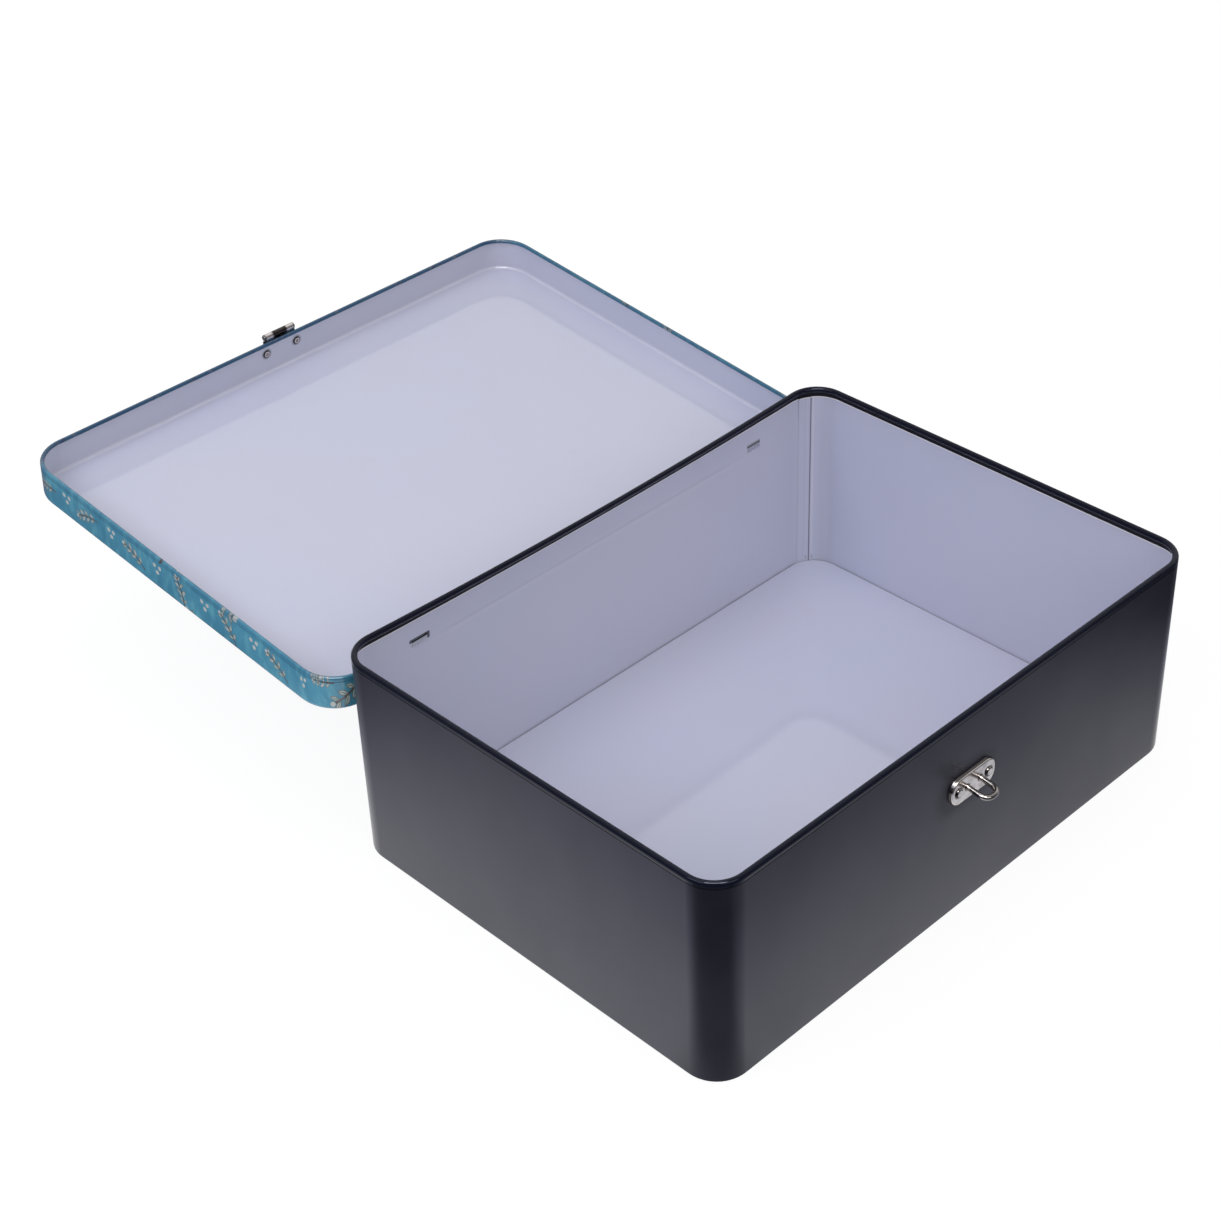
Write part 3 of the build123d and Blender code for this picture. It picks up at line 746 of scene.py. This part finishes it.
def bowed_wall(materials):
    """A copy of the wall with its back edge drawn in, and a material for each side."""
    source = nodes["body_wall"]
    mesh = bmesh.new()
    mesh.from_mesh(source.data)
    bmesh.ops.remove_doubles(mesh, verts=mesh.verts, dist=SAME_POINT)
    across, upward = Vector((1, 0, 0)), Vector((0, 0, 1))
    rise = BODY_TOP - CREASE_HEIGHT
    cuts = [(-BOW_HALF + 2 * BOW_HALF * i / BOW_STEPS, across) for i in range(BOW_STEPS + 1)]
    cuts += [(CREASE_HEIGHT + rise * i / BOW_RISE_STEPS, upward) for i in range(BOW_RISE_STEPS)]
    for place, normal in cuts:
        near_back = [f for f in mesh.faces if max(v.co.y for v in f.verts) > BODY_HALF_Y - BACK_BAND]
        parts = set(near_back)
        for face in near_back:
            parts.update(face.edges)
            parts.update(face.verts)
        bmesh.ops.bisect_plane(
            mesh, geom=list(parts), plane_co=normal * place, plane_no=normal, dist=CUT_TOLERANCE
        )
    flat_x, flat_y = BODY_HALF_X - BODY_CORNER, BODY_HALF_Y - BODY_CORNER
    for face in mesh.faces:
        face.smooth = True
        spot = face.calc_center_median()
        off_flat = Vector((max(abs(spot.x) - flat_x, 0.0), max(abs(spot.y) - flat_y, 0.0)))
        depth = off_flat.length - BODY_CORNER
        if spot.z > UNDER_BODY_RIM - 0.01 * MM:
            face.material_index = RIM
        elif spot.z > UNDER_BODY_RIM - BODY_GROOVE_HEIGHT and depth > -SHEET * 0.7:
            face.material_index = GROOVE
        elif depth < -SHEET / 2 and spot.z > 2 * SHEET:
            face.material_index = INSIDE
        else:
            face.material_index = OUTSIDE
    for vertex in mesh.verts:
        if vertex.co.y > BODY_HALF_Y - BACK_BAND and vertex.co.z > CREASE_HEIGHT:
            share = max(0.0, 1 - (vertex.co.x / BOW_HALF) ** 2)
            lift = (vertex.co.z - CREASE_HEIGHT) / rise
            vertex.co.y -= BACK_BOW * share * lift
    data = bpy.data.meshes.new("bowed_wall")
    mesh.to_mesh(data)
    mesh.free()
    for material in materials:
        data.materials.append(material)
    wall = placed("bowed_wall", data)
    data.set_sharp_from_angle(angle=SMOOTH_BELOW)
    even = wall.modifiers.new("even_shading", "WEIGHTED_NORMAL")
    even.keep_sharp = True
    even.weight = 100
    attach(wall, "body")
    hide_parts("body_wall")


FLOOR_LINE = 0.65 * MM
FLOOR_LINE_SHARE = 0.85
FLOOR_LINE_DARK = (0.05, 0.05, 0.065, 1)


def floor_material():
    """The same lacquer, with the dark hairline where the floor is pressed against the wall."""
    material, tree, shader = new_material("floor_lacquer")
    vector = position(tree)
    color, roughness, normal = lacquer_look(tree, shader, vector)
    x, y = split(tree, vector)[:2]
    edge = rounded_depth(x, y, BODY_HALF_X - SHEET, BODY_HALF_Y - SHEET, BODY_CORNER - SHEET)
    seat = edge.ramp(-FLOOR_LINE * 1.3, -FLOOR_LINE * 0.5)
    plug(tree, shader.inputs["Base Color"], blend(tree, seat * FLOOR_LINE_SHARE, color, FLOOR_LINE_DARK))
    plug(tree, shader.inputs["Roughness"], roughness)
    plug(tree, shader.inputs["Normal"], normal)
    return material


# Bare metal

NICKEL = (0.80, 0.750, 0.725, 1)
NICKEL_DULL = (0.56, 0.52, 0.50, 1)
NICKEL_SHADE = (0.030, 0.025, 0.025, 1)
# The staple's nickel, made darker: painted shade for the dark its legs show
WIRE_NICKEL_SHADED = (0.40, 0.375, 0.36, 1)
WIRE_DULL_SHADED = (0.17, 0.155, 0.15, 1)
TIN = (0.62, 0.625, 0.63, 1)
TIN_DULL = (0.42, 0.42, 0.42, 1)
TIN_SHADE = (0.01, 0.01, 0.012, 1)
TARNISH_CELLS = 220.0
TARNISH_ROUGHNESS = 0.12

# Painted shade on the fittings
RIVET_RING_EDGES = (RIVET_HEAD * 0.45, RIVET_HEAD * 0.15)
RIVET_RING_SHADE_LEAST = 0.62
RIVET_RING_SHADE_LEFT = 0.35
RIVET_FOOT_WIDTH = 1.0 * MM
STAPLE_FOOT_EDGES = (2.4 * MM, 1.4 * MM)
PLATE_CONTACT_SHADE_SHARE = 0.82
PLATE_EDGE_DEPTH = (1.45 * MM, 1.05 * MM)
PLATE_EDGE_SHADE_SHARE = 0.8
KNUCKLE_EDGES = (2.6 * MM, 1.9 * MM)
KNUCKLE_INNER_END = (5.2 * MM, 4.2 * MM)
KNUCKLE_OUTER_END = (9.0 * MM, 9.6 * MM)
KNUCKLE_END_SHADE_SHARE = 0.9
MOUNT_BEND = (2.4 * MM, 1.2 * MM)
MOUNT_BEND_SHADE_SHARE = 0.8
HASP_KNUCKLE_SHADE_SHARE = 0.95

# Painted shade on the folded tabs, a little less on the right
TAB_SHADE_START = (106 * MM, 107 * MM)
TAB_CROWN_SHADE = (SLOT_TOP - 1.35 * MM, SLOT_TOP - 1.0 * MM)
TAB_SHADE_RIGHT = 0.77
TAB_SHADE_LEFT_GAIN = 0.20


def metal_material(name, color, dull, roughness, grain_scale, grain_depth, stretch):
    """Bare metal with fine brushing, cloudy tarnish and small handling marks."""
    material, tree, shader = new_material(name)
    vector = position(tree)
    tarnish = noise(tree, vector, TARNISH_CELLS, detail=4.0)
    brushed = noise(tree, stretched(tree, vector, stretch), grain_scale, detail=3.0)
    plug(tree, shader.inputs["Base Color"], blend(tree, tarnish.ramp(0.35, 0.75), color, dull))
    plug(tree, shader.inputs["Roughness"], tarnish.ramp(0.3, 0.8) * TARNISH_ROUGHNESS + roughness)
    plug(tree, shader.inputs["Normal"], bump(tree, brushed, grain_depth))
    shader.inputs["Metallic"].default_value = 1.0
    return material


def plate_material(name, roughness):
    """Nickelled plate, brushed crosswise."""
    return metal_material(
        name, NICKEL, NICKEL_DULL, roughness, grain_scale=1500.0, grain_depth=0.01 * MM,
        stretch=(1.0, 1.0, 0.15)
    )


def tin_material(name):
    """Dull bright tin, rolled along the strip."""
    return metal_material(
        name, TIN, TIN_DULL, 0.26, grain_scale=700.0, grain_depth=0.008 * MM, stretch=(0.12, 1.0, 1.0)
    )


def paint_shade(material, factor, tone=NICKEL_SHADE):
    """Paint shade over a metal, dark where factor is 1."""
    tree = material.node_tree
    slot = tree.nodes["Principled BSDF"].inputs["Base Color"]
    plug(tree, slot, blend(tree, factor, slot.links[0].from_socket, tone))


def by_pin(y, z):
    """1 round the hasp's pin, 0 away from it."""
    return span(y - PIN_POINT.y, z - PIN_POINT.z).ramp(*KNUCKLE_EDGES)


def rivet_material(name, level, on_lid):
    """A tubular rivet: bright crown, with painted shade as a dark ring where it meets the plate,
    darker to the left.
    """
    material = metal_material(
        name, NICKEL, NICKEL_DULL, 0.12, grain_scale=900.0, grain_depth=0.006 * MM,
        stretch=(1.0, 1.0, 1.0)
    )
    tree = material.node_tree
    vector = position(tree)
    if on_lid:
        vector = shut_position(tree, vector)
    place = split(tree, vector)
    across, rise = off_rivet(place[0]), place[2] - level
    ring = (span(across, rise) - RIVET_HEAD * 0.97).near(*RIVET_RING_EDGES)
    left = (across * -0.8 - rise * 0.6).ramp(-1.6 * MM, 1.0 * MM)
    paint_shade(material, ring * (left * RIVET_RING_SHADE_LEFT + RIVET_RING_SHADE_LEAST))
    return material


def clasp_plate_material():
    """Nickel, with painted shade round the rivets, under the staple's feet and along the plate's
    edge.
    """
    material = plate_material("clasp_nickel", 0.16)
    tree = material.node_tree
    x, y, z = split(tree, position(tree))
    rise = z - CLASP_LEVEL
    rivet = span(x.abs() - RIVET_HALF, rise).ramp(RIVET_HEAD + RIVET_FOOT_WIDTH, RIVET_HEAD)
    foot = span(x.abs() - STAPLE_HALF, rise).ramp(*STAPLE_FOOT_EDGES)
    outer, inner = PLATE_EDGE_DEPTH
    skirt_shade = y.ramp(-BODY_HALF_Y - outer, -BODY_HALF_Y - inner)
    paint_shade(material, rivet.most(foot) * PLATE_CONTACT_SHADE_SHARE)
    paint_shade(material, skirt_shade * PLATE_EDGE_SHADE_SHARE)
    return material


def mount_material():
    """Nickel, with painted shade at the ends of its two knuckles and in the bend above them."""
    material = plate_material("mount_nickel", 0.14)
    tree = material.node_tree
    rest = position(tree)
    x, y, z = split(tree, rest)
    shut_z = split(tree, shut_position(tree, rest))[2]
    knuckle = by_pin(y, z)
    ends = x.near(*KNUCKLE_INNER_END).most(x.abs().ramp(*KNUCKLE_OUTER_END))
    above, below = MOUNT_BEND
    bend = shut_z.ramp(LID_RIM + above, LID_RIM + below) * knuckle.inverted()
    paint_shade(material, (knuckle * ends * KNUCKLE_END_SHADE_SHARE).most(bend * MOUNT_BEND_SHADE_SHARE))
    return material


def hasp_material():
    """Nickel, its own knuckle darkened round the pin with painted shade."""
    material = plate_material("hasp_nickel", 0.14)
    tree = material.node_tree
    y, z = split(tree, position(tree))[1:]
    paint_shade(material, by_pin(y, z) * HASP_KNUCKLE_SHADE_SHARE)
    return material


def strip_material():
    """The body's hinge strip: bare tin, with painted shade where its tabs are folded through the
    wall.
    """
    material = tin_material("hinge_tin")
    tree = material.node_tree
    x, y, z = split(tree, position(tree))
    inside = y.ramp(BODY_HALF_Y - SHEET * 1.6, BODY_HALF_Y - SHEET * 1.2)
    # Painted shade on the folded tabs and over their crowns
    fold_shade = x.abs().ramp(*TAB_SHADE_START) * inside * z.ramp(CREASE_HEIGHT, CREASE_HEIGHT + 2 * MM)
    crown = z.ramp(*TAB_CROWN_SHADE) * y.ramp(BODY_HALF_Y + 1 * MM, BODY_HALF_Y)
    strength = left_half(x) * TAB_SHADE_LEFT_GAIN + TAB_SHADE_RIGHT
    paint_shade(material, fold_shade.most(crown) * strength, TIN_SHADE)
    return material


def dress(name, material):
    """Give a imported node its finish."""
    piece = nodes[name]
    piece.data.materials.clear()
    piece.data.materials.append(material)


bowed_wall([black_material(), wall_lacquer_material(), rim_material(), groove_shadow_material()])
dress("floor_plate", floor_material())
dress("lid_tray", lid_material())
dress("clasp_plate", clasp_plate_material())
dress("hasp_mount", mount_material())
dress("hasp", hasp_material())
dress("clasp_rivets", rivet_material("clasp_rivet_nickel", CLASP_LEVEL, on_lid=False))
dress("hasp_rivets", rivet_material("hasp_rivet_nickel", MOUNT_RIVET_LEVEL, on_lid=True))
# The staple takes the darker nickel, painted shade
dress("staple", metal_material(
    "nickel_wire", WIRE_NICKEL_SHADED, WIRE_DULL_SHADED, 0.10, grain_scale=1500.0, grain_depth=0.006 * MM,
    stretch=(1.0, 0.3, 1.0)
))
steel = metal_material(
    "steel_wire", TIN, TIN_DULL, 0.22, grain_scale=900.0, grain_depth=0.006 * MM,
    stretch=(0.1, 1.0, 1.0)
)
dress("hinge_wire", steel)
dress("hasp_pin", steel)
dress("body_hinge_strip", strip_material())
dress("lid_hinge_strip", tin_material("bare_tin"))


# Stage, light and camera. What the box mirrors of the floor and of the room has levels of
# its own, apart from what is seen directly.

STAGE_HALF = 6.0
STAGE_PALE = (0.86, 0.86, 0.87, 1)
WHITE = (1, 1, 1, 1)
STAGE_WHITE_SHARE = 0.87
STAGE_SEEN_LEVEL = 1.05
# Painted light on the mirrored floor close round the box, reaching further out on its left
MIRROR_FAR = 0.13
MIRROR_LEFT_REACH = 0.30
MIRROR_NEAR_LEVEL = 1.31
MIRROR_FAR_LEVEL = 0.14
MIRROR_FAR_TINT = (0.95, 1.0, 1.25, 1)
MIRROR_TURN_WIDTH = 5 * MM
# Painted shade on the mirrored floor, opening from the near left corner
MIRROR_DARK_TURN = radians(15)
MIRROR_DARK_FRONT_TURN = radians(3)
MIRROR_DARK_EDGE = 17 * MM
MIRROR_DARK_SHARE = 0.78
MIRROR_DEEP_REACH = 0.06
MIRROR_DEEP_SHARE = 0.16
# Painted shade on the mirrored floor before the front wall, darker towards the right
MIRROR_FRONT_START = (-0.02, 0.01)
MIRROR_FRONT_SHARE = 0.815
MIRROR_FRONT_FADE = 0.68
MIRROR_FRONT_LEAST = 0.4
MIRROR_FADE_START = -0.12


def ray_kinds(tree):
    """1 for a direct view, and 1 for a view by way of a shiny or clear surface."""
    path = tree.nodes.new("ShaderNodeLightPath")
    seen, glossy, clear = [
        Wire(tree, path.outputs[name])
        for name in ("Is Camera Ray", "Is Glossy Ray", "Is Transmission Ray")
    ]
    return seen, glossy.most(clear)


def corner_side(x, y, angle):
    """How far a place lies on the left of a line that leans by an angle."""
    return x * -cos(angle) - y * sin(angle)


def add_stage():
    """A plain pale floor. Seen directly it is nearly white, with the object's soft shadow;
    what the box mirrors of it is a painted glow, bright round the box and dark on the photographer's
    side."""
    corners = [(-STAGE_HALF, -STAGE_HALF, 0), (STAGE_HALF, -STAGE_HALF, 0),
               (STAGE_HALF, STAGE_HALF, 0), (-STAGE_HALF, STAGE_HALF, 0)]
    data = bpy.data.meshes.new("studio_floor")
    data.from_pydata(corners, [], [(0, 1, 2, 3)])
    floor = placed("studio_floor", data)
    material, tree, shader = new_material("studio_floor")
    shader.inputs["Base Color"].default_value = STAGE_PALE
    shader.inputs["Roughness"].default_value = 0.9
    x, y = split(tree, position(tree))[:2]
    away = rounded_depth(x, y, BODY_HALF_X, BODY_HALF_Y, BODY_CORNER)
    left = x.ramp(-BODY_HALF_X + MIRROR_TURN_WIDTH, -BODY_HALF_X - MIRROR_TURN_WIDTH)
    near = (away / (left * MIRROR_LEFT_REACH + 1.0)).ramp(MIRROR_FAR, 0.0)
    tint = blend(tree, near, MIRROR_FAR_TINT, WHITE)
    near = near * (MIRROR_NEAR_LEVEL - MIRROR_FAR_LEVEL) + MIRROR_FAR_LEVEL
    out_x = corner_side(x + (BODY_HALF_X - BODY_CORNER), y + BODY_HALF_Y, MIRROR_DARK_FRONT_TURN)
    out_y = corner_side(y + (BODY_HALF_Y - BODY_CORNER), x + BODY_HALF_X, MIRROR_DARK_TURN)
    side = out_x.least(out_y).ramp(-MIRROR_DARK_EDGE, MIRROR_DARK_EDGE)
    deep = away.ramp(0.0, MIRROR_DEEP_REACH) * MIRROR_DEEP_SHARE + (1 - MIRROR_DEEP_SHARE)
    front = y.ramp(-BODY_HALF_Y + MIRROR_TURN_WIDTH, -BODY_HALF_Y - MIRROR_TURN_WIDTH)
    front = front * (x + BODY_HALF_X).ramp(*MIRROR_FRONT_START)
    fade = (x - MIRROR_FADE_START) * -MIRROR_FRONT_FADE + MIRROR_FRONT_SHARE
    fade = fade.most(MIRROR_FRONT_LEAST).least(1.0)
    level = near * (side * deep * -MIRROR_DARK_SHARE + 1.0) * (front * (fade - 1.0) + 1.0)
    white = tree.nodes.new("ShaderNodeEmission")
    seen, mirrored = ray_kinds(tree)
    plug(tree, white.inputs["Color"], blend(tree, seen, tint, WHITE))
    plug(tree, white.inputs["Strength"], (seen * STAGE_SEEN_LEVEL).most(mirrored * level))
    mix = tree.nodes.new("ShaderNodeMixShader")
    plug(tree, mix.inputs[0], (seen * STAGE_WHITE_SHARE).most(mirrored))
    tree.links.new(shader.outputs[0], mix.inputs[1])
    tree.links.new(white.outputs[0], mix.inputs[2])
    tree.links.new(mix.outputs[0], tree.nodes["Material Output"].inputs["Surface"])
    data.materials.append(material)


ROOM_HORIZON = 0.37
ROOM_TOP = 0.67
ROOM_TOP_HEIGHT = 0.75
MIRROR_ROOM_FRONT = 0.22
MIRROR_ROOM_BACK = 1.4
MIRROR_ROOM_WAY = (0.69, 0.73)
MIRROR_ROOM_TURN = (-0.45, 0.55)


def set_room():
    """An even studio surround, plain white where it is seen directly. Mirrored, it is bright
    behind the box and dark on the photographer's side."""
    world = bpy.data.worlds.new("studio")
    bpy.context.scene.world = world
    world.use_nodes = True
    tree = world.node_tree
    background = tree.nodes["Background"]
    background.inputs["Color"].default_value = WHITE
    x, y, z = split(tree, tree.nodes.new("ShaderNodeTexCoord").outputs["Generated"])
    even = z.ramp(0.0, ROOM_TOP_HEIGHT) * (ROOM_TOP - ROOM_HORIZON) + ROOM_HORIZON
    way_x, way_y = MIRROR_ROOM_WAY
    behind = (x * way_x + y * way_y).ramp(*MIRROR_ROOM_TURN)
    behind = behind * (MIRROR_ROOM_BACK - MIRROR_ROOM_FRONT) + MIRROR_ROOM_FRONT
    seen, mirrored = ray_kinds(tree)
    level = even * (mirrored * (behind - 1.0) + 1.0)
    plug(tree, background.inputs["Strength"], seen.most(level))


def add_softbox(name, place, target, size, watts, color=(1, 1, 1)):
    data = bpy.data.lights.new(name, "AREA")
    data.shape = "RECTANGLE"
    data.size, data.size_y = size
    data.energy = watts
    data.color = color
    lamp = placed(name, data)
    lamp.location = place
    lamp.rotation_euler = (Vector(target) - Vector(place)).to_track_quat("-Z", "Y").to_euler()
    return lamp


CAMERA_LENS = 70.86
CAMERA_FILM = 36.0
CAMERA_RANGE = (0.05, 30)
CAMERA_PLACE = (-656.32, -590.56, 744.03)
CAMERA_FORWARD = (0.55574, 0.59047, -0.58524)
CAMERA_RIGHT = (0.7107, -0.70267, -0.03407)


def add_camera():
    """The photograph's viewpoint, solved from the box's straight edges."""
    data = bpy.data.cameras.new("camera")
    data.sensor_width = CAMERA_FILM
    data.lens = CAMERA_LENS
    data.clip_start, data.clip_end = CAMERA_RANGE
    camera = placed("camera", data)
    forward = Vector(CAMERA_FORWARD).normalized()
    right = Vector(CAMERA_RIGHT)
    right = (right - forward * right.dot(forward)).normalized()
    up = right.cross(forward)
    turn = Matrix((right, up, -forward)).transposed().to_4x4()
    camera.matrix_world = Matrix.Translation(Vector(CAMERA_PLACE) * MM) @ turn
    bpy.context.scene.camera = camera


add_stage()
set_room()
add_softbox("key", place=(0.1, 0.3, 1.8), target=(0, 0.05, 0.05), size=(0.6, 0.6), watts=2.7)
add_softbox(
    "left_fill", place=(-1.1, 0.1, 1.2), target=(0.1, 0, 0.06), size=(1.0, 0.8), watts=8.3,
    color=(0.85, 0.86, 1.0)
)
add_softbox(
    "front_fill", place=(-0.3, -1.4, 1.1), target=(0, 0.2, 0.08), size=(1.2, 0.8), watts=6.0,
    color=(1.0, 0.98, 0.96)
)
spark = add_softbox(
    "spark", place=(-0.57, -0.56, 1.37), target=(-0.15, -0.11, 0.11), size=(0.95, 0.5), watts=28
)
spark.visible_diffuse = False
add_camera()
bpy.context.scene.view_settings.view_transform = "Standard"
